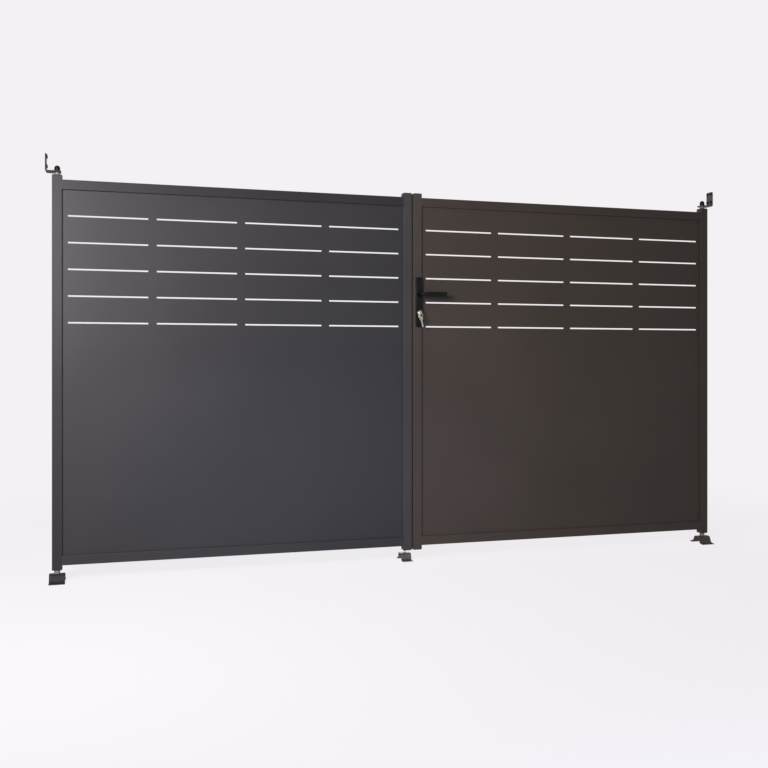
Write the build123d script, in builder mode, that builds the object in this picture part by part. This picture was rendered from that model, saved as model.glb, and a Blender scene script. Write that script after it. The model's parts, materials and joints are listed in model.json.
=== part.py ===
import os
from math import atan2, sin, tan

from build123d import *

os.makedirs("parts", exist_ok=True)

# Opening and leaves
opening_width = 3500.0  # between the two wall faces
wall_to_pivot = 52.0  # wall face to the pivot line of a leaf
leaf_gap = 8.0  # between the two meeting stiles
stile_height = 1800.0
stile_width = 45.0
frame_depth = 40.0
rail_height = 45.0
tube_wall = 1.5
tube_corner = 3.0
stile_overhang = 22.0  # stile past the rails, at each end
ground_gap = 56.0  # under the stiles

# Sheet panels and their slots
sheet_thickness = 1.5
sheet_recess = 10.0  # behind the front of the frame
slot_height = 7.0
slot_margin = 24.0  # from the stile to the first slot
slot_bridge = 39.0  # metal left between two slots
inner_slot_extra = 18.0  # the two middle slots are longer than the end ones
slot_row_count = 5
slot_row_pitch = 122.0
first_row_drop = 163.0  # top of the top rail to the first row

# Stile end caps
cap_thickness = 5.0
cap_taper = 3.0
cap_rim_corner = 1.5
cap_spigot_depth = 14.0
cap_spigot_clearance = 0.2
pivot_spigot_depth = 26.0

# Pivots
pin_radius = 6.0
pin_running_clearance = 0.1
pin_hole_clearance = 0.2
pin_reach = 22.0  # into the stile
pin_lead_in = 1.0
pin_head_radius = 9.0
pin_head_height = 5.0
collar_radius = 13.0
collar_height = 10.5
foot_collar_height = 16.0
collar_end_gap = 0.5
dome_radius = 13.0
dome_skirt = 13.5

# Top brackets
bracket_thickness = 6.0
bracket_bend = 4.0
bracket_width = 50.0
bracket_height = 82.0
bracket_nose = 17.0  # past the pivot line
bracket_corner = 8.0
wall_hole_radius = 4.5
wall_hole_spacing_y = 30.0
wall_hole_spacing_z = 44.0
wall_hole_edge = 11.0  # top row of holes below the top edge

# Floor brackets
strap_thickness = 5.0
strap_bend = 11.0
strap_width = 70.0
strap_top = 40.0
strap_leg_run = 14.0
strap_foot = 26.0
floor_hole_radius = 4.5
floor_hole_spacing = 44.0
floor_hole_edge = 10.5  # holes in from the foot's outer edge

# Floor keeper for the drop bolt
keeper_thickness = 4.0
keeper_bend = 6.0
keeper_width = 53.0
keeper_height = 36.0
keeper_top = 42.0
keeper_leg_run = 9.0
keeper_foot = 27.0
keeper_hole_radius = 7.0
keeper_anchor_radius = 3.5

# Drop bolt
rod_radius = 5.0
rod_clearance = 0.3
rod_lead_in = 1.5
rod_behind_stile = 11.0  # stile back to the rod's axis
rod_keeper_gap = 6.0  # raised tip above the keeper
rod_length = 330.0
rod_bend = 10.0
rod_handle = 45.0
guide_plate_width = 36.0
guide_plate_height = 200.0
guide_plate_thickness = 3.0
guide_plate_above = 42.0  # above the stile's lower end
guide_plate_corner = 6.0
guide_loop_width = 20.0
guide_loop_height = 16.0
guide_loop_inset = 8.0

# Lock furniture
lock_backset = 28.0  # meeting edge to the spindle
spindle_height = 1288.0  # above the stile's lower end
key_below_spindle = 92.0
lock_plate_width = 34.0
lock_plate_height = 252.0
lock_plate_above = 88.0  # above the spindle
lock_plate_thickness = 7.0
lock_plate_corner = 10.0
lock_plate_edge = 2.0
neck_radius = 8.5
neck_clearance = 0.3
lever_projection = 48.0  # stile face to the grip's middle
lever_length = 134.0
lever_bend = 16.0
grip_flare = 18.0  # from the round neck to the flat grip
grip_height = 26.0
grip_thickness = 11.0
grip_corner = 4.5
grip_tip_round = 2.5
spindle_side = 8.0
barrel_radius = 8.5
barrel_stem_width = 10.0
barrel_height = 33.0
barrel_clearance = 0.2
barrel_proud = 3.0

# Keys
key_thickness = 2.4
key_blade_height = 8.0
key_blade_inside = 18.0
key_slot_clearance = 0.1
key_neck = 5.0
key_bow_radius = 12.0
key_hole_radius = 3.0
key_hole_offset = 7.0
ring_radius = 10.0
ring_wire_radius = 0.9
ring_seat_gap = 0.6
spare_bow_radius = 11.0
spare_hole_offset = 6.5
spare_blade_length = 34.0
spare_turn = 22.0  # degrees, the hanging key twists on its ring
spare_lean = 12.0  # degrees, and leans to the grip side
key_cut_count = 5
key_cut_pitch = 4.5
key_cut_depth = 1.6
key_tip_bevel = 2.5

# Positions worked out from the sizes. The origin is under the front foot of the left floor bracket.
left_outer_x = 0.0
right_outer_x = opening_width - 2 * wall_to_pivot
centre_x = (left_outer_x + right_outer_x) / 2
left_meeting_x = centre_x - leaf_gap / 2 - stile_width / 2
right_meeting_x = centre_x + leaf_gap / 2 + stile_width / 2
rail_length = left_meeting_x - left_outer_x - stile_width
left_rail_x = left_outer_x + stile_width / 2
right_rail_x = right_meeting_x + stile_width / 2
pivot_y = strap_top / 2 + strap_leg_run + strap_foot / 2
front_y = pivot_y - frame_depth / 2
back_y = pivot_y + frame_depth / 2
sheet_y = front_y + sheet_recess
stile_base_z = ground_gap
stile_top_z = stile_base_z + stile_height
tube_base_z = stile_base_z + cap_thickness
tube_top_z = stile_top_z - cap_thickness
tube_length = tube_top_z - tube_base_z
bottom_rail_z = stile_base_z + stile_overhang + rail_height / 2
top_rail_z = stile_top_z - stile_overhang - rail_height / 2
sheet_base_z = bottom_rail_z + rail_height / 2
sheet_height = top_rail_z - rail_height / 2 - sheet_base_z
first_row_z = top_rail_z + rail_height / 2 - first_row_drop
spindle_x = centre_x + leaf_gap / 2 + lock_backset
spindle_z = stile_base_z + spindle_height
key_z = spindle_z - key_below_spindle
stem_drop = barrel_height - barrel_radius - barrel_stem_width / 2

# Slot centres along a panel, counted from the middle of its lower edge
end_slot = (rail_length - 2 * slot_margin - 3 * slot_bridge - 2 * inner_slot_extra) / 4
inner_slot = end_slot + inner_slot_extra
inner_slot_x = slot_bridge / 2 + inner_slot / 2
end_slot_x = slot_bridge * 1.5 + inner_slot + end_slot / 2
row_z = [first_row_z - row * slot_row_pitch - sheet_base_z for row in range(slot_row_count)]
inner_slots = [(side * inner_slot_x, z) for side in (-1, 1) for z in row_z]
end_slots = [(side * end_slot_x, z) for side in (-1, 1) for z in row_z]

# Sections of the caps' spigots and bores
tube_inside_corner = tube_corner - tube_wall
spigot_width = stile_width - 2 * tube_wall - 2 * cap_spigot_clearance
spigot_depth_y = frame_depth - 2 * tube_wall - 2 * cap_spigot_clearance
pin_bore_radius = pin_radius + pin_running_clearance


# Section of a square tube, drawn into the open sketch
def tube_section(across, along):
    RectangleRounded(across, along, tube_corner)
    RectangleRounded(
        across - 2 * tube_wall, along - 2 * tube_wall, tube_inside_corner, mode=Mode.SUBTRACT
    )


# Outline of the profile cylinder, a round barrel on a narrower stem, drawn into the open sketch
def cylinder_outline(clearance):
    Circle(barrel_radius + clearance)
    with Locations((0, -stem_drop)):
        Circle(barrel_stem_width / 2 + clearance)
    with Locations((0, -stem_drop / 2)):
        Rectangle(barrel_stem_width + 2 * clearance, stem_drop)


# Plain stiles
plain_stiles = {
    "left_outer_stile": left_outer_x,
    "left_meeting_stile": left_meeting_x,
    "right_outer_stile": right_outer_x,
}
for name, stile_x in plain_stiles.items():
    with BuildPart() as stile:
        with BuildSketch(Plane((stile_x, pivot_y, tube_base_z))):
            tube_section(stile_width, frame_depth)
        extrude(amount=tube_length)
    stile.part.label = name
    export_step(stile.part, f"parts/{name}.step")

# The right meeting stile is cut through for the spindle and the lock cylinder
with BuildPart() as right_meeting_stile:
    with BuildSketch(Plane((right_meeting_x, pivot_y, tube_base_z))):
        tube_section(stile_width, frame_depth)
    extrude(amount=tube_length)
    with BuildSketch(Plane((spindle_x, front_y, spindle_z), (1, 0, 0), (0, -1, 0))):
        Circle(neck_radius + neck_clearance)
    extrude(amount=-frame_depth, mode=Mode.SUBTRACT)
    with BuildSketch(Plane((spindle_x, front_y, key_z), (1, 0, 0), (0, -1, 0))):
        cylinder_outline(barrel_clearance)
    extrude(amount=-frame_depth, mode=Mode.SUBTRACT)
right_meeting_stile.part.label = "right_meeting_stile"
export_step(right_meeting_stile.part, "parts/right_meeting_stile.step")

# Rails and slotted sheets of both leaves
for side, rail_x in (("left", left_rail_x), ("right", right_rail_x)):
    for end, rail_z in (("top", top_rail_z), ("bottom", bottom_rail_z)):
        with BuildPart() as rail:
            with BuildSketch(Plane((rail_x, pivot_y, rail_z), (0, 1, 0), (1, 0, 0))):
                tube_section(frame_depth, rail_height)
            extrude(amount=rail_length)
        rail.part.label = f"{side}_{end}_rail"
        export_step(rail.part, f"parts/{side}_{end}_rail.step")

    sheet_face = Plane((rail_x + rail_length / 2, sheet_y, sheet_base_z), (1, 0, 0), (0, -1, 0))
    with BuildPart() as panel:
        with BuildSketch(sheet_face):
            Rectangle(rail_length, sheet_height, align=(Align.CENTER, Align.MIN))
            with Locations(*inner_slots):
                Rectangle(inner_slot, slot_height, mode=Mode.SUBTRACT)
            with Locations(*end_slots):
                Rectangle(end_slot, slot_height, mode=Mode.SUBTRACT)
        extrude(amount=-sheet_thickness)
    panel.part.label = f"{side}_panel"
    export_step(panel.part, f"parts/{side}_panel.step")

# Stile end caps with a tapered rim. The ones on the outer stiles carry a pivot collar.
rim_width = stile_width - 2 * cap_taper
rim_depth = frame_depth - 2 * cap_taper
cap_shoulder = cap_thickness - cap_taper

for side, outer_x, meeting_x in (
    ("left", left_outer_x, left_meeting_x),
    ("right", right_outer_x, right_meeting_x),
):
    for end, tube_end_z, outward, collar in (
        ("top", tube_top_z, 1, collar_height),
        ("bottom", tube_base_z, -1, foot_collar_height),
    ):
        for place, stile_x, spigot in (
            ("meeting", meeting_x, cap_spigot_depth),
            ("outer", outer_x, pivot_spigot_depth),
        ):
            tube_end = Plane((stile_x, pivot_y, tube_end_z), (1, 0, 0), (0, 0, outward))
            with BuildPart() as cap:
                with BuildSketch(tube_end):
                    RectangleRounded(spigot_width, spigot_depth_y, tube_inside_corner)
                extrude(amount=-spigot)
                with BuildSketch(tube_end):
                    RectangleRounded(stile_width, frame_depth, tube_corner)
                extrude(amount=cap_shoulder)
                with BuildSketch(tube_end.offset(cap_shoulder)):
                    RectangleRounded(stile_width, frame_depth, tube_corner)
                with BuildSketch(tube_end.offset(cap_thickness)):
                    RectangleRounded(rim_width, rim_depth, cap_rim_corner)
                loft()
                if place == "outer":
                    with BuildSketch(tube_end.offset(cap_thickness)):
                        Circle(collar_radius)
                    extrude(amount=collar)
                    with BuildSketch(tube_end.offset(-spigot)):
                        Circle(pin_bore_radius)
                    extrude(amount=spigot + cap_thickness + collar, mode=Mode.SUBTRACT)
            cap.part.label = f"{side}_{place}_{end}_cap"
            export_step(cap.part, f"parts/{side}_{place}_{end}_cap.step")

# Top pivots: a strap bent to an L with its upright on the wall, a pin through its ledge, a dome nut
ledge_z = stile_top_z + collar_height + collar_end_gap
ledge_top_z = ledge_z + bracket_thickness
ledge_reach = wall_to_pivot + bracket_nose
wall_left_x = left_outer_x - wall_to_pivot
wall_right_x = right_outer_x + wall_to_pivot
wall_hole_z = ledge_z + bracket_height - wall_hole_edge - wall_hole_spacing_z / 2
top_pin_length = ledge_top_z + dome_skirt - stile_top_z + pin_reach
bracket_points = [
    (0, 0),
    (ledge_reach, 0),
    (ledge_reach, bracket_thickness),
    (bracket_thickness, bracket_thickness),
    (bracket_thickness, bracket_height),
    (0, bracket_height),
]
bracket_bends = [bracket_bend + bracket_thickness, 0, 0, bracket_bend, 0, 0]

for side, pivot_x, wall_x, inward in (
    ("left", left_outer_x, wall_left_x, 1),
    ("right", right_outer_x, wall_right_x, -1),
):
    bracket_side = Plane((wall_x, pivot_y, ledge_z), (inward, 0, 0), (0, -inward, 0))
    along_ledge = Axis((wall_x, pivot_y, ledge_z), (inward, 0, 0))
    with BuildPart() as top_bracket:
        with BuildSketch(bracket_side):
            with BuildLine():
                FilletPolyline(*bracket_points, radius=bracket_bends, close=True)
            make_face()
        extrude(amount=bracket_width / 2, both=True)
        fillet(top_bracket.edges().filter_by(Axis.X).group_by(Axis.Z)[-1], bracket_corner)
        fillet(top_bracket.edges().filter_by(Axis.Z).group_by(along_ledge)[-1], bracket_corner)
        with BuildSketch(Plane((wall_x, pivot_y, wall_hole_z), (0, inward, 0), (inward, 0, 0))):
            with GridLocations(wall_hole_spacing_y, wall_hole_spacing_z, 2, 2):
                Circle(wall_hole_radius)
        extrude(amount=bracket_thickness, mode=Mode.SUBTRACT)
        with BuildSketch(Plane((pivot_x, pivot_y, ledge_z))):
            Circle(pin_radius + pin_hole_clearance)
        extrude(amount=bracket_thickness, mode=Mode.SUBTRACT)
    top_bracket.part.label = f"{side}_top_bracket"
    export_step(top_bracket.part, f"parts/{side}_top_bracket.step")

    with BuildPart() as top_pin:
        with BuildSketch(Plane((pivot_x, pivot_y, stile_top_z - pin_reach))):
            Circle(pin_radius)
        extrude(amount=top_pin_length)
        chamfer(top_pin.edges().group_by(Axis.Z)[0], pin_lead_in)
    top_pin.part.label = f"{side}_top_pin"
    export_step(top_pin.part, f"parts/{side}_top_pin.step")

    with BuildPart() as dome_nut:
        with BuildSketch(Plane((pivot_x, pivot_y, ledge_top_z), (1, 0, 0), (0, -1, 0))):
            with BuildLine():
                skirt = Line((dome_radius, 0), (dome_radius, dome_skirt))
                crown = JernArc(skirt @ 1, (0, 1), dome_radius, 90)
                crown_axis = Line(crown @ 1, (0, dome_skirt))
                bore_end = Line(crown_axis @ 1, (pin_radius, dome_skirt))
                bore_wall = Line(bore_end @ 1, (pin_radius, 0))
                Line(bore_wall @ 1, skirt @ 0)
            make_face()
        revolve(axis=Axis((pivot_x, pivot_y, ledge_top_z), (0, 0, 1)))
    dome_nut.part.label = f"{side}_dome_nut"
    export_step(dome_nut.part, f"parts/{side}_dome_nut.step")


# Outline of a strap bent to a hat, its legs leaning in and its feet flat on the ground.
# It keeps one thickness all along, so each pair of bends shares a centre.
def hat_outline(height, thickness, half_top, leg_run, foot, bend):
    lean = atan2(height - thickness, leg_run)
    shift = thickness / sin(lean) - thickness / tan(lean)
    half_leg = half_top + leg_run
    half = half_leg + foot
    upper = [(half, thickness), (half_leg, thickness), (half_top, height)]
    lower = [(half_top - shift, height - thickness), (half_leg - shift, 0), (half, 0)]
    upper_bends = [0, bend, bend + thickness]
    lower_bends = [bend, bend + thickness, 0]
    points = [(-y, z) for y, z in upper] + upper[::-1] + lower[::-1] + [(-y, z) for y, z in lower]
    bends = upper_bends + upper_bends[::-1] + lower_bends[::-1] + lower_bends
    FilletPolyline(*points, radius=bends, close=True)


# Floor pivots: a hat-shaped bracket and a headed pin up through it into the stile
strap_height = stile_base_z - foot_collar_height - collar_end_gap
head_base_z = strap_height - strap_thickness - pin_head_height
floor_pin_length = stile_base_z + pin_reach - head_base_z
foot_hole_spacing_y = strap_top + 2 * (strap_leg_run + strap_foot - floor_hole_edge)

for side, pivot_x in (("left", left_outer_x), ("right", right_outer_x)):
    with BuildPart() as floor_bracket:
        with BuildSketch(Plane((pivot_x, pivot_y, 0), (0, 1, 0), (1, 0, 0))):
            with BuildLine():
                hat_outline(
                    strap_height, strap_thickness, strap_top / 2, strap_leg_run, strap_foot, strap_bend
                )
            make_face()
        extrude(amount=strap_width / 2, both=True)
        with BuildSketch(Plane((pivot_x, pivot_y, 0))):
            with GridLocations(floor_hole_spacing, foot_hole_spacing_y, 2, 2):
                Circle(floor_hole_radius)
            Circle(pin_radius + pin_hole_clearance)
        extrude(amount=strap_height, mode=Mode.SUBTRACT)
    floor_bracket.part.label = f"{side}_floor_bracket"
    export_step(floor_bracket.part, f"parts/{side}_floor_bracket.step")

    with BuildPart() as floor_pin:
        with BuildSketch(Plane((pivot_x, pivot_y, head_base_z))):
            Circle(pin_head_radius)
        extrude(amount=pin_head_height)
        with BuildSketch(Plane((pivot_x, pivot_y, head_base_z))):
            Circle(pin_radius)
        extrude(amount=floor_pin_length)
        chamfer(floor_pin.edges().group_by(Axis.Z)[-1], pin_lead_in)
    floor_pin.part.label = f"{side}_floor_pin"
    export_step(floor_pin.part, f"parts/{side}_floor_pin.step")

# Floor keeper under the drop bolt
rod_y = back_y + rod_behind_stile
keeper_anchor_spacing = keeper_top + 2 * keeper_leg_run + keeper_foot

with BuildPart() as floor_keeper:
    with BuildSketch(Plane((left_meeting_x, rod_y, 0), (0, 1, 0), (1, 0, 0))):
        with BuildLine():
            hat_outline(
                keeper_height, keeper_thickness, keeper_top / 2, keeper_leg_run, keeper_foot, keeper_bend
            )
        make_face()
    extrude(amount=keeper_width / 2, both=True)
    with BuildSketch(Plane((left_meeting_x, rod_y, 0))):
        with GridLocations(0, keeper_anchor_spacing, 1, 2):
            Circle(keeper_anchor_radius)
        Circle(keeper_hole_radius)
    extrude(amount=keeper_height, mode=Mode.SUBTRACT)
floor_keeper.part.label = "floor_keeper"
export_step(floor_keeper.part, "parts/floor_keeper.step")

# Drop bolt on the back of the left meeting stile: a bent rod in a plate with two loops
rod_tip_z = keeper_height + rod_keeper_gap
guide_z = stile_base_z + guide_plate_above
guide_mid_z = guide_z + guide_plate_height / 2
lower_loop_z = guide_z + guide_loop_inset
upper_loop_z = guide_z + guide_plate_height - guide_loop_inset - guide_loop_height
guide_loop_depth = rod_behind_stile - guide_plate_thickness

with BuildPart() as drop_bolt:
    with BuildLine(Plane((left_meeting_x, rod_y, rod_tip_z), (1, 0, 0), (0, -1, 0))):
        rod_line = Line((0, 0), (0, rod_length - rod_bend))
        rod_arc = JernArc(rod_line @ 1, (0, 1), rod_bend, 90)
        Line(rod_arc @ 1, (-rod_handle, rod_length))
    with BuildSketch(Plane((left_meeting_x, rod_y, rod_tip_z))):
        Circle(rod_radius)
    sweep()
    chamfer(drop_bolt.edges().group_by(Axis.Z)[0], rod_lead_in)
    fillet(drop_bolt.edges().group_by(Axis.X)[0], rod_lead_in)
drop_bolt.part.label = "drop_bolt"
export_step(drop_bolt.part, "parts/drop_bolt.step")

with BuildPart() as bolt_guide:
    with BuildSketch(Plane((left_meeting_x, back_y, guide_mid_z), (1, 0, 0), (0, -1, 0))):
        RectangleRounded(guide_plate_width, guide_plate_height, guide_plate_corner)
    extrude(amount=-guide_plate_thickness)
    for loop_z in (lower_loop_z, upper_loop_z):
        with BuildSketch(Plane((left_meeting_x, rod_y, loop_z))):
            Circle(guide_loop_width / 2)
            Rectangle(guide_loop_width, guide_loop_depth, align=(Align.CENTER, Align.MAX))
        extrude(amount=guide_loop_height)
    with BuildSketch(Plane((left_meeting_x, rod_y, guide_z))):
        Circle(rod_radius + rod_clearance)
    extrude(amount=guide_plate_height, mode=Mode.SUBTRACT)
bolt_guide.part.label = "bolt_guide"
export_step(bolt_guide.part, "parts/bolt_guide.step")

# Lock plates and levers on both faces of the right meeting stile.
# A lever is a round neck that turns a quarter bend and flares into a flat grip.
plate_mid = lock_plate_above - lock_plate_height / 2
grip_x = spindle_x + lever_bend
flat_grip_x = grip_x + grip_flare
flat_grip_length = lever_length - lever_bend - grip_flare

for side, face_y, outward in (("front", front_y, -1), ("back", back_y, 1)):
    plate_seat = Plane((spindle_x, face_y, spindle_z), (-outward, 0, 0), (0, outward, 0))
    outer_rim = Axis((spindle_x, face_y, spindle_z), (0, outward, 0))
    with BuildPart() as lock_plate:
        with BuildSketch(plate_seat):
            with Locations((0, plate_mid)):
                RectangleRounded(lock_plate_width, lock_plate_height, lock_plate_corner)
        extrude(amount=lock_plate_thickness)
        fillet(lock_plate.faces().sort_by(outer_rim)[-1].edges(), lock_plate_edge)
        with BuildSketch(plate_seat):
            Circle(neck_radius + neck_clearance)
        extrude(amount=lock_plate_thickness, mode=Mode.SUBTRACT)
        with BuildSketch(Plane((spindle_x, face_y, key_z), (-outward, 0, 0), (0, outward, 0))):
            cylinder_outline(barrel_clearance)
        extrude(amount=lock_plate_thickness, mode=Mode.SUBTRACT)
    lock_plate.part.label = f"{side}_lock_plate"
    export_step(lock_plate.part, f"parts/{side}_lock_plate.step")

    grip_y = face_y + outward * lever_projection
    with BuildPart() as lever:
        with BuildLine(Plane((spindle_x, face_y, spindle_z), (1, 0, 0), (0, 0, outward))):
            neck = Line((0, 0), (0, lever_projection - lever_bend))
            JernArc(neck @ 1, (0, 1), lever_bend, -90)
        with BuildSketch(plate_seat):
            Circle(neck_radius)
        sweep()
        with BuildSketch(Plane((grip_x, grip_y, spindle_z), (0, 1, 0), (1, 0, 0))):
            Circle(neck_radius)
        with BuildSketch(Plane((flat_grip_x, grip_y, spindle_z), (0, 1, 0), (1, 0, 0))):
            RectangleRounded(grip_thickness, grip_height, grip_corner)
        loft()
        with BuildSketch(Plane((flat_grip_x, grip_y, spindle_z), (0, 1, 0), (1, 0, 0))):
            RectangleRounded(grip_thickness, grip_height, grip_corner)
        extrude(amount=flat_grip_length)
        fillet(lever.edges().group_by(Axis.X)[-1], grip_tip_round)
    lever.part.label = f"{side}_lever"
    export_step(lever.part, f"parts/{side}_lever.step")

with BuildPart() as lever_spindle:
    with BuildSketch(Plane((spindle_x, front_y, spindle_z), (1, 0, 0), (0, -1, 0))):
        Rectangle(spindle_side, spindle_side)
    extrude(amount=-frame_depth)
lever_spindle.part.label = "lever_spindle"
export_step(lever_spindle.part, "parts/lever_spindle.step")

# Lock cylinder with its keyway
barrel_front_y = front_y - lock_plate_thickness - barrel_proud
barrel_length = frame_depth + 2 * lock_plate_thickness + 2 * barrel_proud

with BuildPart() as lock_cylinder:
    with BuildSketch(Plane((spindle_x, barrel_front_y, key_z), (1, 0, 0), (0, -1, 0))):
        cylinder_outline(0)
    extrude(amount=-barrel_length)
    with BuildSketch(Plane((spindle_x, barrel_front_y, key_z), (1, 0, 0), (0, -1, 0))):
        Rectangle(key_thickness + 2 * key_slot_clearance, key_blade_height + 2 * key_slot_clearance)
    extrude(amount=-(key_blade_inside + key_slot_clearance), mode=Mode.SUBTRACT)
lock_cylinder.part.label = "lock_cylinder"
export_step(lock_cylinder.part, "parts/lock_cylinder.step")

# Key in the cylinder, key ring through its bow, spare key on the ring
bow_y = barrel_front_y - key_neck - key_bow_radius
ring_y = bow_y - key_hole_offset
ring_z = key_z - key_hole_radius + ring_wire_radius + ring_seat_gap - ring_radius
spare_hole_z = ring_z - ring_radius - key_hole_radius + ring_wire_radius + ring_seat_gap
blade_back_y = barrel_front_y + key_blade_inside
mid_cut_y = -spare_hole_offset - spare_bow_radius - (spare_blade_length - key_tip_bevel) / 2
first_cut_y = mid_cut_y + key_cut_pitch * (key_cut_count - 1) / 2
cut_y = [first_cut_y - key_cut_pitch * cut for cut in range(key_cut_count)]
key_cuts = [(key_blade_height / 2, y) for y in cut_y]

with BuildPart() as key:
    with BuildSketch(Plane((spindle_x, bow_y, key_z), (0, 1, 0), (1, 0, 0))):
        Circle(key_bow_radius)
        Rectangle(blade_back_y - bow_y, key_blade_height, align=(Align.MIN, Align.CENTER))
        with Locations((-key_hole_offset, 0)):
            Circle(key_hole_radius, mode=Mode.SUBTRACT)
    extrude(amount=key_thickness / 2, both=True)
key.part.label = "key"
export_step(key.part, "parts/key.step")

with BuildPart() as key_ring:
    with BuildSketch(Plane((spindle_x + ring_radius, ring_y, ring_z))):
        Circle(ring_wire_radius)
    revolve(axis=Axis((spindle_x, ring_y, ring_z), (0, 1, 0)))
key_ring.part.label = "key_ring"
export_step(key_ring.part, "parts/key_ring.step")

spare_plane = Plane((spindle_x, ring_y, spare_hole_z), (0, 1, 0), (1, 0, 0))
with BuildPart() as spare_key:
    with BuildSketch(spare_plane.rotated((0, -spare_lean, spare_turn))):
        with Locations((0, -spare_hole_offset)):
            Circle(spare_bow_radius)
            blade = Rectangle(
                key_blade_height, spare_bow_radius + spare_blade_length, align=(Align.CENTER, Align.MAX)
            )
        chamfer(blade.vertices().group_by(Axis.Y)[0], key_tip_bevel)
        with Locations(*key_cuts):
            RegularPolygon(key_cut_depth, 4, mode=Mode.SUBTRACT)
        Circle(key_hole_radius, mode=Mode.SUBTRACT)
    extrude(amount=key_thickness / 2, both=True)
spare_key.part.label = "spare_key"
export_step(spare_key.part, "parts/spare_key.step")
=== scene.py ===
import json
import math

import bpy
from mathutils import Matrix, Vector


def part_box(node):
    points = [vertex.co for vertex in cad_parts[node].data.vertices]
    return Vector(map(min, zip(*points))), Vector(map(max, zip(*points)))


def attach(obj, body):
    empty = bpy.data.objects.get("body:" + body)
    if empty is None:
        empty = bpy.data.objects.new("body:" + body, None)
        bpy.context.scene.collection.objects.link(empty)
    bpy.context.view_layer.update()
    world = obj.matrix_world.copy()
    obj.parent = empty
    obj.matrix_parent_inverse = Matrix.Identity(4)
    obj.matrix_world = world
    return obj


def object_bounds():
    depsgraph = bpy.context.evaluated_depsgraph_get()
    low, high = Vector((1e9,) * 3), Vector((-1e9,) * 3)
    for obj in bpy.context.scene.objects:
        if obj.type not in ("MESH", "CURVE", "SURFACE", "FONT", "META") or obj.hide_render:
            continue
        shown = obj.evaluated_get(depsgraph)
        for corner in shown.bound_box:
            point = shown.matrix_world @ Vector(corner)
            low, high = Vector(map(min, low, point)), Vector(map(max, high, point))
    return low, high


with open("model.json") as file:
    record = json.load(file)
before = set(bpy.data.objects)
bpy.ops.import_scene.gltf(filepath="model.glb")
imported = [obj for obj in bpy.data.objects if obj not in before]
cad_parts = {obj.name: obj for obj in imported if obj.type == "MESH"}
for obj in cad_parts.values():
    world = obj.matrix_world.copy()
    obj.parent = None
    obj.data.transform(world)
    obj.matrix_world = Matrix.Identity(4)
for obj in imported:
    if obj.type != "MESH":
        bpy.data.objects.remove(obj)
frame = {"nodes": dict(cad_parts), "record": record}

cadLow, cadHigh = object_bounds()
mounts = {mount["name"]: mount for mount in frame["record"]["mounts"]}
nodeSlots = {part["node"]: part["material_slot"] for part in frame["record"]["subparts"]}
mm = 0.001
print("frame loaded:", len(frame["nodes"]), "nodes")


# helpers for colours and shader nodes

def fromHex(code):
    channels = [int(code[at:at + 2], 16) / 255 for at in (1, 3, 5)]
    linear = [c / 12.92 if c <= 0.04045 else ((c + 0.055) / 1.055) ** 2.4 for c in channels]
    return (*linear, 1.0)


def addNode(tree, kind, settings=None, links=None):
    node = tree.nodes.new(kind)
    for name, value in (settings or {}).items():
        if name in node.inputs:
            node.inputs[name].default_value = value
        else:
            setattr(node, name, value)
    for name, source in (links or {}).items():  # by number where two inputs share a name
        tree.links.new(source, node.inputs[name])
    return node


def startMaterial(name):
    material = bpy.data.materials.new(name)
    material.use_nodes = True
    tree = material.node_tree
    tree.nodes.clear()
    place = addNode(tree, "ShaderNodeTexCoord").outputs["Object"]
    return material, tree, place


def endMaterial(tree, settings, links):
    shader = addNode(tree, "ShaderNodeBsdfPrincipled", settings, links)
    addNode(tree, "ShaderNodeOutputMaterial", {}, {"Surface": shader.outputs["BSDF"]})


# helpers for patterns, with sizes and depths in millimetres

noiseBand = (0.3, 0.7)  # most of a noise texture's values lie between these


def addNoise(tree, place, size, detail):
    noise = addNode(tree, "ShaderNodeTexNoise", {"Scale": 1 / (size * mm), "Detail": detail}, {"Vector": place})
    return noise.outputs["Fac"]


def addTones(tree, noise, codes, band=noiseBand):
    tones = addNode(tree, "ShaderNodeValToRGB", {}, {"Fac": noise})
    for element, at, code in zip(tones.color_ramp.elements, band, codes):
        element.position = at
        element.color = fromHex(code)
    return tones.outputs["Color"]


def addRange(tree, noise, least, most):
    settings = {"From Min": noiseBand[0], "From Max": noiseBand[1], "To Min": least, "To Max": most}
    return addNode(tree, "ShaderNodeMapRange", settings, {"Value": noise}).outputs["Result"]


def addBumps(tree, noise, depth, strength=1.0, links=None):
    settings = {"Strength": strength, "Distance": depth * mm}
    return addNode(tree, "ShaderNodeBump", settings, {"Height": noise, **(links or {})}).outputs["Normal"]


# Powder coat on steel, sprayed and baked: an even satin skin with a soft sheen, a faint orange peel
# and broad clouds of slightly thicker and thinner colour. The thin sheets behind it wave a little.
coatLook = {
    "cloudSize": 650,
    "cloudDetail": 3.0,
    "peelSize": 6,  # real peel is about 1 mm, drawn coarser so that it shows
    "peelDetail": 2.0,
    "peelDepth": 0.015,
    "waveSize": 420,
    "waveDetail": 1.0,
    "waveDepth": 0.9,
    "smoothest": 0.40,
    "roughest": 0.50,
}


def powderCoat(name, tones, sheen):
    look = coatLook
    material, tree, place = startMaterial(name)
    cloud = addNoise(tree, place, look["cloudSize"], look["cloudDetail"])
    wave = addNoise(tree, place, look["waveSize"], look["waveDetail"])
    peel = addNoise(tree, place, look["peelSize"], look["peelDetail"])
    waving = addBumps(tree, wave, look["waveDepth"])
    endMaterial(tree, {"Specular IOR Level": sheen},
                {"Base Color": addTones(tree, cloud, tones),
                 "Roughness": addRange(tree, cloud, look["smoothest"], look["roughest"]),
                 "Normal": addBumps(tree, peel, look["peelDepth"], links={"Normal": waving})})
    return material


# Zinc-plated steel, tumbled and passivated: a grey metal sheen with cloudy, slightly warm patches
zincLook = {"patchSize": 9, "patchDetail": 4.0, "grainSize": 1.2, "grainDetail": 2.0, "grainDepth": 0.02,
            "smoothest": 0.34, "roughest": 0.55}


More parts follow.
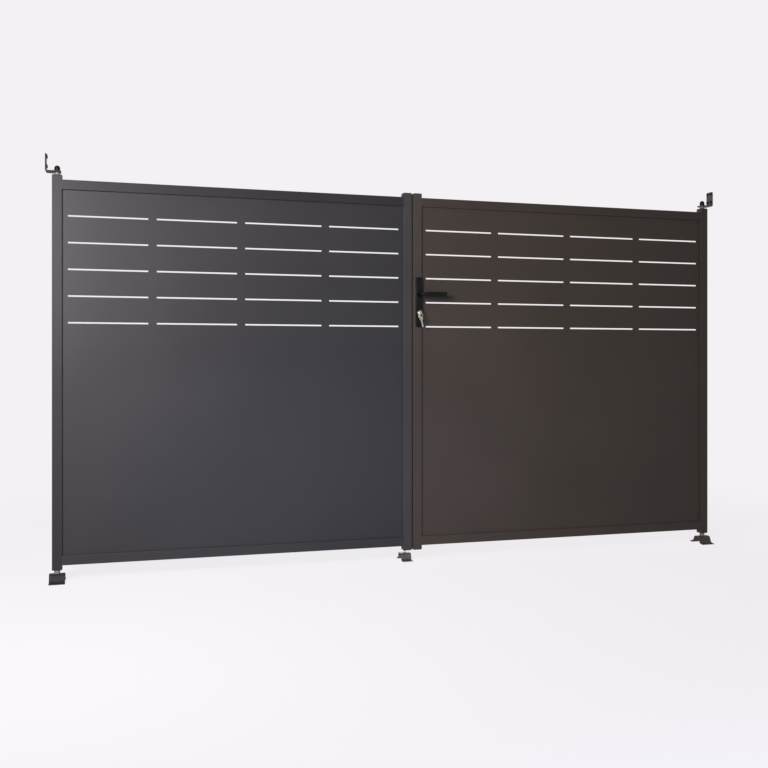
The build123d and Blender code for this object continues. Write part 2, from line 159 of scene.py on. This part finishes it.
def zincPlate(name, tones, metal):
    look = zincLook
    material, tree, place = startMaterial(name)
    patch = addNoise(tree, place, look["patchSize"], look["patchDetail"])
    grain = addNoise(tree, place, look["grainSize"], look["grainDetail"])
    endMaterial(tree, {"Metallic": metal},
                {"Base Color": addTones(tree, patch, tones),
                 "Roughness": addRange(tree, patch, look["smoothest"], look["roughest"]),
                 "Normal": addBumps(tree, grain, look["grainDepth"])})
    return material


# Outer end caps: coated like the leaf, with the pivot collars beyond the stile's ends left in bare zinc,
# so that a paler metal ring shows at each pivot
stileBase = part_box("left_meeting_bottom_cap")[0].z
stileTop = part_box("left_meeting_top_cap")[1].z
collarLook = {"edge": 0.2, "sheen": 0.2, "metal": 0.4, "smoothest": 0.55, "roughest": 0.68}


def collaredCoat(name, coatTones, bareTones):
    look = collarLook
    edge = look["edge"] * mm
    material, tree, place = startMaterial(name)
    height = addNode(tree, "ShaderNodeSeparateXYZ", {}, {"Vector": place}).outputs["Z"]
    aboveFoot = addNode(tree, "ShaderNodeMapRange", {"From Min": stileBase - edge, "From Max": stileBase},
                        {"Value": height})
    belowHead = addNode(tree, "ShaderNodeMapRange", {"From Min": stileTop + edge, "From Max": stileTop},
                        {"Value": height})
    coated = addNode(tree, "ShaderNodeMath", {"operation": "MULTIPLY"},
                     {0: aboveFoot.outputs["Result"], 1: belowHead.outputs["Result"]}).outputs[0]
    patch = addNoise(tree, place, zincLook["patchSize"], zincLook["patchDetail"])
    tone = addNode(tree, "ShaderNodeMix", {"data_type": "RGBA"},  # its colours are inputs 6 and 7, output 2
                   {0: coated, 6: addTones(tree, patch, bareTones), 7: addTones(tree, patch, coatTones)})
    metallic = addNode(tree, "ShaderNodeMapRange", {"To Min": look["metal"], "To Max": 0.0}, {"Value": coated})
    endMaterial(tree, {"Specular IOR Level": look["sheen"]},
                {"Base Color": tone.outputs[2], "Metallic": metallic.outputs["Result"],
                 "Roughness": addRange(tree, patch, look["smoothest"], look["roughest"])})
    return material


# Black mouldings: glass-filled nylon or satin plastic, with a fine even grain that breaks the gloss
mouldLook = {"grainDetail": 3.0, "toneBand": (0.35, 0.75), "sheen": 0.12}


def blackMoulding(name, tones, smoothest, roughest, grainSize, grainDepth):
    look = mouldLook
    material, tree, place = startMaterial(name)
    grain = addNoise(tree, place, grainSize, look["grainDetail"])
    endMaterial(tree, {"Specular IOR Level": look["sheen"]},
                {"Base Color": addTones(tree, grain, tones, look["toneBand"]),
                 "Roughness": addRange(tree, grain, smoothest, roughest),
                 "Normal": addBumps(tree, grain, grainDepth)})
    return material


# Turned or milled metal, satin-finished: fine parallel tool lines that stretch the highlights
millLook = {"lineDetail": 3.0, "lineDepth": 0.02, "lineStrength": 0.4, "roughSpread": 0.06}


def milledMetal(name, tones, metal, lineSize, roughness, stretch):
    look = millLook
    spread = look["roughSpread"]
    material, tree, place = startMaterial(name)
    turned = addNode(tree, "ShaderNodeMapping", {"Scale": stretch}, {"Vector": place}).outputs["Vector"]
    lines = addNoise(tree, turned, lineSize, look["lineDetail"])
    endMaterial(tree, {"Metallic": metal},
                {"Base Color": addTones(tree, lines, tones),
                 "Roughness": addRange(tree, lines, roughness - spread, roughness + spread),
                 "Normal": addBumps(tree, lines, look["lineDepth"], look["lineStrength"])})
    return material


# Painted light: one coat, drawn in a cool tone on the left leaf and a lighter, warm tone on the right one, for
# the cool and warm light that falls on each
coolLitTones = ("#2e2c2d", "#333132")
warmLitTones = ("#413931", "#483f37")
coolLitCoat = powderCoat("satinPowderCoatCool", coolLitTones, sheen=0.2)
warmLitCoat = powderCoat("satinPowderCoatWarm", warmLitTones, sheen=0.15)
# painted shade: darker copies of the leaf coats, on the outer left stile and the top rails
coolShadedRail = powderCoat("satinPowderCoatCoolShaded", ("#262425", "#2b292a"), sheen=0.2)
warmShadedRail = powderCoat("satinPowderCoatWarmShaded", ("#3e362e", "#453c35"), sheen=0.15)
# hardly any shine on the meeting stiles, so that the gap between the leaves is dark; their lighter tones are
# painted light, standing in for the sheen taken away
coolMattLit = powderCoat("mattPowderCoatCoolLit", ("#43413f", "#494745"), sheen=0.02)
warmMattLit = powderCoat("mattPowderCoatWarmLit", ("#49413b", "#504841"), sheen=0.02)
# painted light: the end caps take the cool-lit and warm-lit coat tones, and the bare zinc collars on the right
# leaf a warmer, paler tone
coolLitCap = collaredCoat("coatCoolLitZincCollar", coolLitTones, ("#6f6d69", "#88867f"))
warmLitCap = collaredCoat("coatWarmLitZincCollar", warmLitTones, ("#7c756a", "#968d81"))
blackCoat = powderCoat("satinPowderCoatBlack", ("#2b2829", "#353233"), sheen=0.06)
# painted light: the right-hand brackets take a lighter, brown copy of the black bracket coat, for the warm
# light on that side
warmLitBracketCoat = powderCoat("satinPowderCoatBlackWarmLit", ("#50453e", "#5c5048"), sheen=0.2)
zinc = zincPlate("zincPlatedSteel", ("#86847f", "#a3a19b"), metal=0.6)
dullZinc = zincPlate("weatheredZinc", ("#4d4846", "#5d5754"), metal=0.5)
nylon = blackMoulding("blackNylon", ("#0d0c0c", "#151413"), smoothest=0.10, roughest=0.18,
                      grainSize=1.4, grainDepth=0.02)
dome = blackMoulding("satinBlackPlastic", ("#0d0d0e", "#151516"), smoothest=0.44, roughest=0.52,
                     grainSize=2.0, grainDepth=0.006)
brass = milledMetal("satinBrass", ("#c4b392", "#e2d5b8"), metal=0.9, lineSize=0.9, roughness=0.30,
                    stretch=(1, 12, 1))
nickel = milledMetal("nickelledSteel", ("#c9c7c0", "#e3e1da"), metal=0.6, lineSize=0.8, roughness=0.34,
                     stretch=(1, 1, 9))
print("materials made")


# dress the CAD nodes

slotFinish = {
    "bracket_coat": blackCoat,
    "zinc_steel": zinc,
    "dome_black": dome,
    "lock_black": nylon,
    "cylinder_brass": brass,
    "key_nickel": nickel,
}
ownFinish = {  # nodes that differ from the others of their slot
    "left_outer_stile": coolShadedRail,
    "left_top_rail": coolShadedRail,
    "right_top_rail": warmShadedRail,
    "left_meeting_stile": coolMattLit,
    "right_meeting_stile": warmMattLit,
    "left_outer_top_cap": coolLitCap,
    "left_outer_bottom_cap": coolLitCap,
    "right_outer_top_cap": warmLitCap,
    "right_outer_bottom_cap": warmLitCap,
    "right_top_bracket": warmLitBracketCoat,
    "right_floor_bracket": warmLitBracketCoat,
    "floor_keeper": dullZinc,
    "key_ring": brass,
}


# right-hand pieces take the warm-lit copy of the coat and the others the cool-lit one: painted light
def leafCoat(name):
    return warmLitCoat if name.startswith("right") else coolLitCoat


def dress(piece, material):
    piece.data.materials.clear()
    piece.data.materials.append(material)


for name, node in frame["nodes"].items():
    slot = nodeSlots[name]
    usual = leafCoat(name) if slot == "leaf_coat" else slotFinish[slot]
    dress(node, ownFinish.get(name, usual))
print("nodes dressed")


# modelling helpers

nearlyLevel = 0.9  # least upward part of the normal of a face that counts as a top
quiteLevel = 0.99  # the same for the flat middle of a top, without its bevel


def deselect():
    bpy.ops.object.select_all(action="DESELECT")


def active():
    return bpy.context.view_layer.objects.active


def edit(piece, facesWanted):
    deselect()
    piece.select_set(True)
    bpy.context.view_layer.objects.active = piece
    for item in (*piece.data.vertices, *piece.data.edges):
        item.select = False
    for face in piece.data.polygons:
        face.select = facesWanted(face)
    bpy.ops.object.mode_set(mode="EDIT")
    bpy.ops.mesh.select_mode(type="FACE")


def leaveEdit():
    bpy.ops.object.mode_set(mode="OBJECT")


def joined(name, parts):
    deselect()
    for part in parts:
        part.select_set(True)
    bpy.context.view_layer.objects.active = parts[0]
    bpy.ops.object.join()
    piece = active()
    piece.name = piece.data.name = name
    return piece


def placedCopy(model, name, matrix):
    piece = model.copy()
    piece.data = model.data.copy()
    piece.name = piece.data.name = name
    bpy.context.scene.collection.objects.link(piece)
    piece.data.transform(matrix)
    return piece


# hex bolts with a flange, and washers under the floor anchors

boltSizes = {"across": 13.0, "head": 3.4, "flange": 8.4, "flangeRise": 1.0, "washer": 9.2, "washerThick": 1.2,
             "chamfer": 0.6}  # millimetres at scale 1
boltDetail = {"sides": 28, "shankSides": 12, "rimSegments": 2, "flangeTaper": 0.9, "dishInset": 0.18,
              "dishDepth": 0.35, "washerRim": 0.2, "flangeRim": 0.25, "shankRim": 0.1, "shankPlay": 0.5,
              "smoothAngle": 35}  # rims and play in millimetres at any scale
boltTurns = (7, 24, 41, 15)  # degrees, as a spanner leaves them
boltSets = (
    {"mount": "wall_left_bolts", "seat": "wall_left_face", "name": "leftWallBolt",
     "scale": 1.0, "washer": False},
    {"mount": "wall_right_bolts", "seat": "wall_right_face", "name": "rightWallBolt",
     "scale": 1.0, "washer": False},
    {"mount": "floor_left_anchors", "seat": "floor_left_foot", "name": "leftFloorAnchor",
     "scale": 0.85, "washer": True},
    {"mount": "floor_right_anchors", "seat": "floor_right_foot", "name": "rightFloorAnchor",
     "scale": 0.85, "washer": True},
    {"mount": "keeper_anchors", "seat": "floor_left_foot", "name": "keeperAnchor",
     "scale": 0.75, "washer": True},
)


def roundPlate(sides, lower, upper, base, height, rim):
    deselect()
    bpy.ops.mesh.primitive_cone_add(vertices=sides, radius1=lower, radius2=upper, depth=height,
                                    location=(0, 0, base + height / 2))
    plate = active()
    bpy.ops.object.transform_apply(location=True)
    edit(plate, lambda face: face.normal.z > nearlyLevel)
    bpy.ops.mesh.bevel(offset=rim, segments=boltDetail["rimSegments"], affect="EDGES")
    leaveEdit()
    return plate


def hexBolt(shankRadius, shankLength, scale, washer):
    size = {name: value * mm * scale for name, value in boltSizes.items()}
    detail = boltDetail
    sides = detail["sides"]
    parts = []
    base = 0
    if washer:
        parts.append(roundPlate(sides, size["washer"], size["washer"], base, size["washerThick"],
                                detail["washerRim"] * mm))
        base += size["washerThick"]
    parts.append(roundPlate(sides, size["flange"], detail["flangeTaper"] * size["flange"], base,
                            size["flangeRise"], detail["flangeRim"] * mm))
    base += size["flangeRise"]
    corner = size["across"] / math.sqrt(3)
    head = roundPlate(6, corner, corner, base, size["head"], size["chamfer"])
    edit(head, lambda face: face.normal.z > quiteLevel)
    bpy.ops.mesh.inset(thickness=detail["dishInset"] * size["across"],
                       depth=-detail["dishDepth"] * size["chamfer"])  # shallow dish on top
    leaveEdit()
    parts.append(head)
    parts.append(roundPlate(detail["shankSides"], shankRadius, shankRadius, -shankLength, shankLength,
                            detail["shankRim"] * mm))
    model = joined("boltModel", parts)
    bpy.ops.object.shade_smooth_by_angle(angle=math.radians(detail["smoothAngle"]))
    return model


def placeBolts(bolts):
    mount = mounts[bolts["mount"]]
    dims = mount["dims"]
    axis = Vector(mount["axis"])
    middle = Vector(mount["pos_m"])
    halfPlate = abs((middle - Vector(mounts[bolts["seat"]]["pos_m"])).dot(axis))
    turn = Vector((0, 0, 1)).rotation_difference(axis).to_matrix().to_4x4()
    onWall = abs(axis.x) > abs(axis.z)
    across = Vector((0, 1, 0)) if onWall else Vector((1, 0, 0))
    along = Vector((0, 0, 1)) if onWall else Vector((0, 1, 0))
    halfAcross = dims.get("spacing_x_mm", 0) * mm / 2
    halfAlong = dims["spacing_y_mm"] * mm / 2
    shankRadius = dims["hole_r_mm"] * mm - boltDetail["shankPlay"] * mm
    model = hexBolt(shankRadius, 2 * halfPlate, bolts["scale"], bolts["washer"])
    seats = [(a * halfAcross, b * halfAlong) for a in ((-1, 1) if halfAcross else (0,)) for b in (-1, 1)]
    for count, (offAcross, offAlong) in enumerate(seats):
        seat = middle + axis * halfPlate + across * offAcross + along * offAlong
        spin = Matrix.Rotation(math.radians(boltTurns[count % len(boltTurns)]), 4, "Z")
        bolt = placedCopy(model, f"{bolts['name']}{count + 1}", Matrix.Translation(seat) @ turn @ spin)
        dress(bolt, blackCoat)
        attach(bolt, "fixings")
    bpy.data.objects.remove(model)


for bolts in boltSets:
    placeBolts(bolts)
print("bolts placed")


# welds where the rails meet the stiles, ground flush and coated over

weldSizes = {"corner": 3.0, "skin": 0.02, "edge": 2.8, "segments": 4}


def weldModel(height):
    side = weldSizes["corner"] * mm
    deselect()
    bpy.ops.mesh.primitive_cube_add(size=1, location=(0, side / 2, 0), scale=(side, side, height))
    weld = active()
    bpy.ops.object.transform_apply(location=True, scale=True)
    edit(weld, lambda face: abs(face.normal.z) > nearlyLevel)
    bpy.ops.mesh.bevel(offset=weldSizes["edge"] * mm, segments=weldSizes["segments"], affect="EDGES")
    leaveEdit()
    return weld


def placeWelds():
    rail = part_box("left_top_rail")
    model = weldModel(rail[1].z - rail[0].z)
    skin = weldSizes["skin"] * mm
    for side in ("left", "right"):
        for end in ("top", "bottom"):
            low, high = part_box(f"{side}_{end}_rail")
            for place, x, inward in (("A", low.x, -1), ("B", high.x, 1)):
                for face, y, turn in (("Front", low.y + skin, 0), ("Back", high.y - skin, math.pi)):
                    at = Vector((x + inward * weldSizes["corner"] * mm / 2, y, (low.z + high.z) / 2))
                    weld = placedCopy(model, f"{side}{end.title()}Weld{place}{face}",
                                      Matrix.Translation(at) @ Matrix.Rotation(turn, 4, "Z"))
                    dress(weld, leafCoat(side))
                    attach(weld, f"{side}_leaf")
    bpy.data.objects.remove(model)


placeWelds()
print("welds placed")


# stage: pale floor, pale world, soft lamps

stageLook = {"pale": "#f4f1f4", "floorHalf": 60.0, "shadowShare": 0.14, "litLevel": 0.60,
             "shadowNear": 1.6, "shadowFar": 4.2, "ambient": "#e6e8ec", "ambientStrength": 0.036}


# the camera sees the pale ground, and so do the reflections in the coat and the metals
def seenAsPale(tree):
    path = addNode(tree, "ShaderNodeLightPath")
    seen = path.outputs["Is Camera Ray"]
    for ray in ("Is Glossy Ray", "Is Transmission Ray"):
        either = addNode(tree, "ShaderNodeMath", {"operation": "ADD", "use_clamp": True},
                         {0: seen, 1: path.outputs[ray]})
        seen = either.outputs[0]
    return seen


# from a value near the gate to 1 farther out, where the shadow has ended
def fadeToOne(tree, distance, near):
    fade = addNode(tree, "ShaderNodeMapRange",
                   {"interpolation_type": "SMOOTHSTEP", "From Min": stageLook["shadowNear"],
                    "From Max": stageLook["shadowFar"], "To Min": near, "To Max": 1.0},
                   {"Value": distance})
    return fade.outputs["Result"]


def paleFloor():
    look = stageLook
    pale = fromHex(look["pale"])
    glowShare = 1 - look["shadowShare"]
    middle = (cadLow + cadHigh) / 2
    material, tree, place = startMaterial("paleFloor")
    fromGate = addNode(tree, "ShaderNodeVectorMath", {"operation": "DISTANCE"}, {0: place})
    fromGate.inputs[1].default_value = (middle.x, middle.y, 0)
    distance = fromGate.outputs["Value"]
    # the matt share is darker than the pale glow under these lamps, so the glow makes up for it
    madeUp = (1 - look["shadowShare"] * look["litLevel"]) / glowShare
    glow = addNode(tree, "ShaderNodeMath", {"operation": "MULTIPLY"},
                   {0: seenAsPale(tree), 1: fadeToOne(tree, distance, glowShare)})
    matt = addNode(tree, "ShaderNodeBsdfDiffuse", {"Color": pale})
    lit = addNode(tree, "ShaderNodeEmission", {"Color": pale}, {"Strength": fadeToOne(tree, distance, madeUp)})
    mixed = addNode(tree, "ShaderNodeMixShader", {},
                    {"Fac": glow.outputs[0], 1: matt.outputs["BSDF"], 2: lit.outputs["Emission"]})
    addNode(tree, "ShaderNodeOutputMaterial", {}, {"Surface": mixed.outputs["Shader"]})
    deselect()
    bpy.ops.mesh.primitive_plane_add(size=2 * look["floorHalf"], location=(middle.x, middle.y, 0))
    floor = active()
    floor.name = "paleFloor"
    bpy.ops.object.transform_apply(location=True)
    dress(floor, material)


def paleWorld():
    look = stageLook
    world = bpy.data.worlds.new("paleStudio")
    bpy.context.scene.world = world
    world.use_nodes = True
    tree = world.node_tree
    tree.nodes.clear()
    soft = addNode(tree, "ShaderNodeBackground",
                   {"Color": fromHex(look["ambient"]), "Strength": look["ambientStrength"]})
    pale = addNode(tree, "ShaderNodeBackground", {"Color": fromHex(look["pale"]), "Strength": 1.0})
    mixed = addNode(tree, "ShaderNodeMixShader", {},
                    {"Fac": seenAsPale(tree), 1: soft.outputs["Background"], 2: pale.outputs["Background"]})
    addNode(tree, "ShaderNodeOutputWorld", {}, {"Surface": mixed.outputs["Shader"]})


lamps = {
    "leftGlow": {"place": (-1.1, -4.2, 2.2), "aim": (0.2, 0, 1.3), "size": (1.2, 1.8), "power": 42,
                 "spread": 140, "colour": "#f8f3f7"},
    "nearGlow": {"place": (-0.9, -2.6, 1.95), "aim": (0.3, 0, 1.1), "size": (0.9, 0.9), "power": 68,
                 "spread": 130, "colour": "#f5f3f9"},
    "coolLow": {"place": (1.7, -3.0, 0.25), "aim": (1.6, 0, 0.5), "size": (2.6, 0.4), "power": 20,
                "spread": 180, "colour": "#a8c8ff"},
    "topSoft": {"place": (1.7, -0.6, 4.8), "aim": (1.7, 0.1, 0.9), "size": (3.6, 1.6), "power": 14,
                "spread": 180, "colour": "#ffffff"},
    "backSoft": {"place": (3.1, 5.6, 3.0), "aim": (1.7, 0.1, 0.9), "size": (2.8, 2.8), "power": 80,
                 "spread": 180, "colour": "#ffffff"},
}


def addLamps():
    for name, lamp in lamps.items():
        deselect()
        bpy.ops.object.light_add(type="AREA", location=lamp["place"])
        light = active()
        light.name = name
        toAim = Vector(lamp["aim"]) - Vector(lamp["place"])
        light.rotation_euler = toAim.to_track_quat("-Z", "Y").to_euler()
        light.data.shape = "RECTANGLE"
        light.data.size, light.data.size_y = lamp["size"]
        light.data.energy = lamp["power"]
        light.data.spread = math.radians(lamp["spread"])
        light.data.color = fromHex(lamp["colour"])[:3]
        light.visible_camera = False


# the camera stands where the photographer stood: left of the middle, level, turned to the right
cameraView = {"place": (0.2015, -4.554, 0.9991), "yaw": 16.367, "focalPixels": 955.7, "horizonPixel": 362.98,
              "imageSide": 768, "sensor": 36.0}


def addCamera():
    view = cameraView
    side = view["imageSide"]
    level = (math.radians(90), 0, -math.radians(view["yaw"]))
    deselect()
    bpy.ops.object.camera_add(location=view["place"], rotation=level)
    camera = active()
    camera.name = "photoCamera"
    camera.data.sensor_width = view["sensor"]
    camera.data.lens = view["focalPixels"] / side * view["sensor"]
    camera.data.shift_y = (view["horizonPixel"] - side / 2) / side
    bpy.context.scene.camera = camera


paleFloor()
paleWorld()
addLamps()
addCamera()
bpy.context.scene.view_settings.view_transform = "Standard"
print("stage, lamps and camera set")
